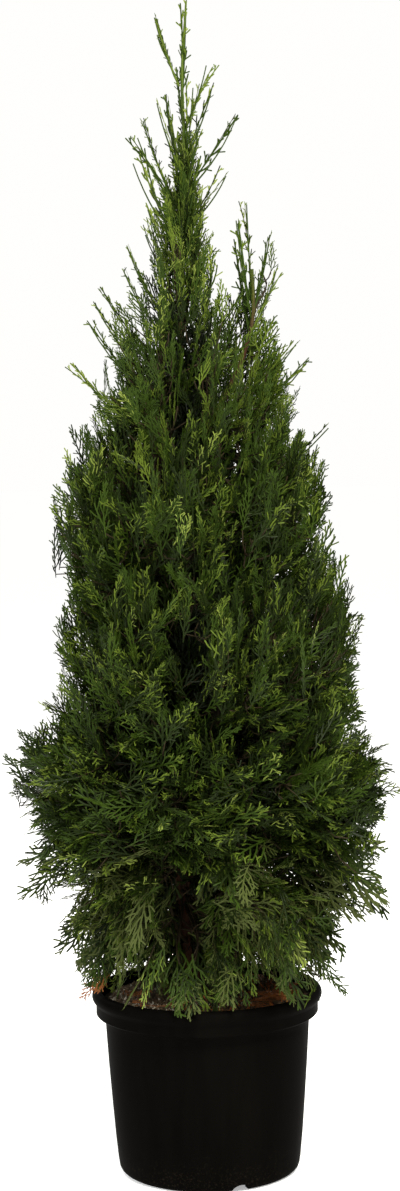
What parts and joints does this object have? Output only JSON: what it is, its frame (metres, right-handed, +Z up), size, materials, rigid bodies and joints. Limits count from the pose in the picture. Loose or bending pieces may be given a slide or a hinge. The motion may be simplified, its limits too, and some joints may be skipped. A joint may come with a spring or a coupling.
{
  "type": "potted thuja",
  "caption": "Columnar evergreen conifer with upright flat sprays above and drooping sprays below, in a round black nursery pot.",
  "frame": {"origin": "centre of the pot's underside, on the level surface that the pot stands on", "axes": "+Z up along the pot's axis; the front of the plant faces -Y; +X is to the right"},
  "size_m": [0.4442, 0.4071, 1.3071],
  "materials": {
    "pot_plastic": "satin",
    "soil_mix": "matte",
    "bark": "matte",
    "foliage": "matte"
  },
  "bodies": {
    "root": {"bough_high_1": "bark", "bough_high_2": "bark", "bough_high_3": "bark", "bough_high_4": "bark", "bough_high_5": "bark", "bough_high_6": "bark", "bough_low_1": "bark", "bough_low_2": "bark", "bough_low_3": "bark", "bough_low_4": "bark", "bough_low_5": "bark", "bough_low_6": "bark", "crest_back": "foliage", "crest_front": "foliage", "crest_left": "foliage", "crest_right": "foliage", "lower_1": "foliage", "lower_2": "foliage", "lower_3": "foliage", "lower_4": "foliage", "lower_5": "foliage", "lower_6": "foliage", "middle_1": "foliage", "middle_2": "foliage", "middle_3": "foliage", "middle_4": "foliage", "middle_5": "foliage", "middle_6": "foliage", "pad_front": "foliage", "pad_left": "foliage", "pad_right": "foliage", "pot": "pot_plastic", "second_leader": "bark", "shoulder_1": "foliage", "shoulder_2": "foliage", "shoulder_3": "foliage", "shoulder_4": "foliage", "shoulder_5": "foliage", "shoulder_6": "foliage", "side_leader": "bark", "skirt_1": "foliage", "skirt_2": "foliage", "skirt_3": "foliage", "skirt_4": "foliage", "skirt_5": "foliage", "skirt_6": "foliage", "soil": "soil_mix", "spire_inner": "foliage", "spire_outer": "foliage", "trunk": "bark", "tuft_left": "foliage", "tuft_right": "foliage", "tuft_top": "foliage", "upper_1": "foliage", "upper_2": "foliage", "upper_3": "foliage", "upper_4": "foliage", "upper_5": "foliage", "upper_6": "foliage"}
  },
  "joints": []
}
